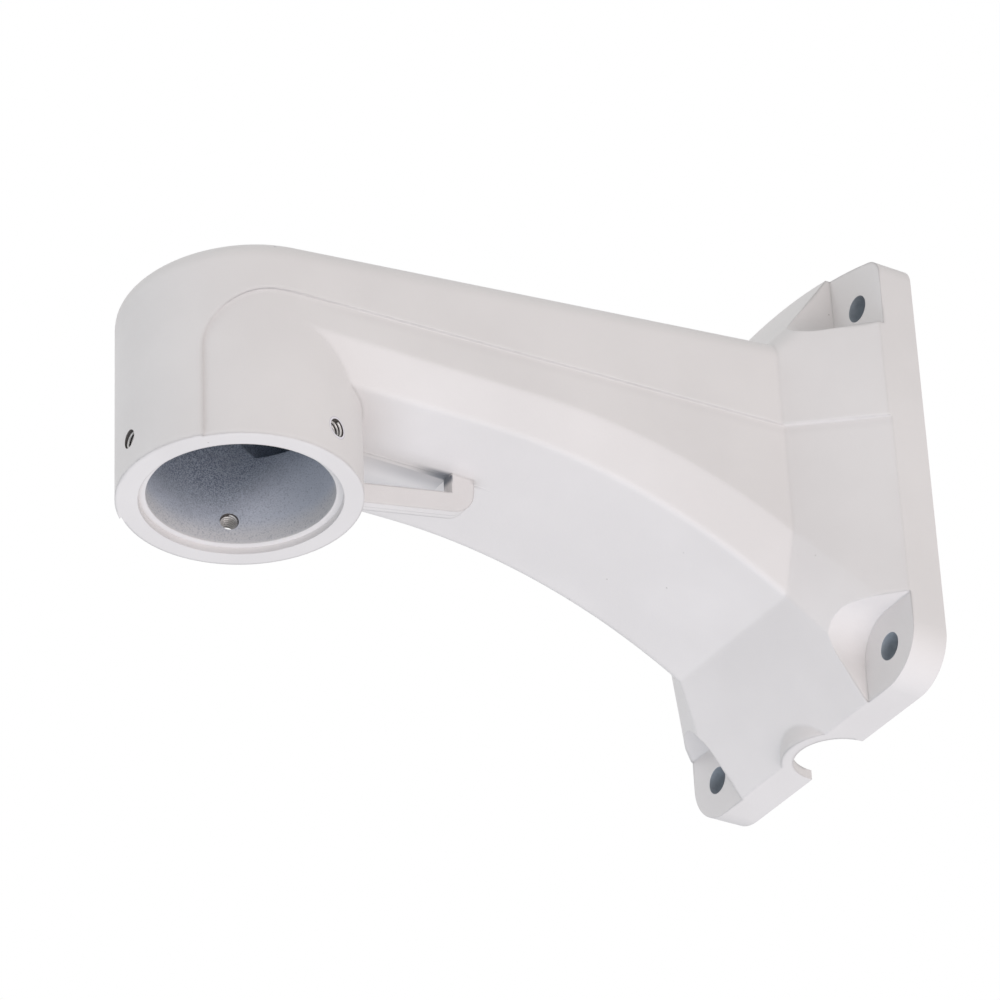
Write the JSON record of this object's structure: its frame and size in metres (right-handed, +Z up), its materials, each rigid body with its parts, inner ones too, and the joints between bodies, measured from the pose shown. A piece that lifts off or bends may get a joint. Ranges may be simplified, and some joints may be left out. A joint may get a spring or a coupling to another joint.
{
  "type": "camera wall bracket",
  "caption": "Cast wall bracket: a hollow arm from a flared four-hole base to a round socket that opens downwards, clamped by radial screws.",
  "frame": {"origin": "centre of the four wall screw holes, on the back face of the base, in the plane of the wall", "axes": "+Z up, -Y out from the wall along the arm, +X to the right of someone facing the wall"},
  "size_m": [0.108, 0.2229, 0.1429],
  "materials": {
    "white_paint": "fine matt powder coat"
  },
  "bodies": {
    "root": {"bracket_casting": "white_paint"}
  },
  "joints": []
}
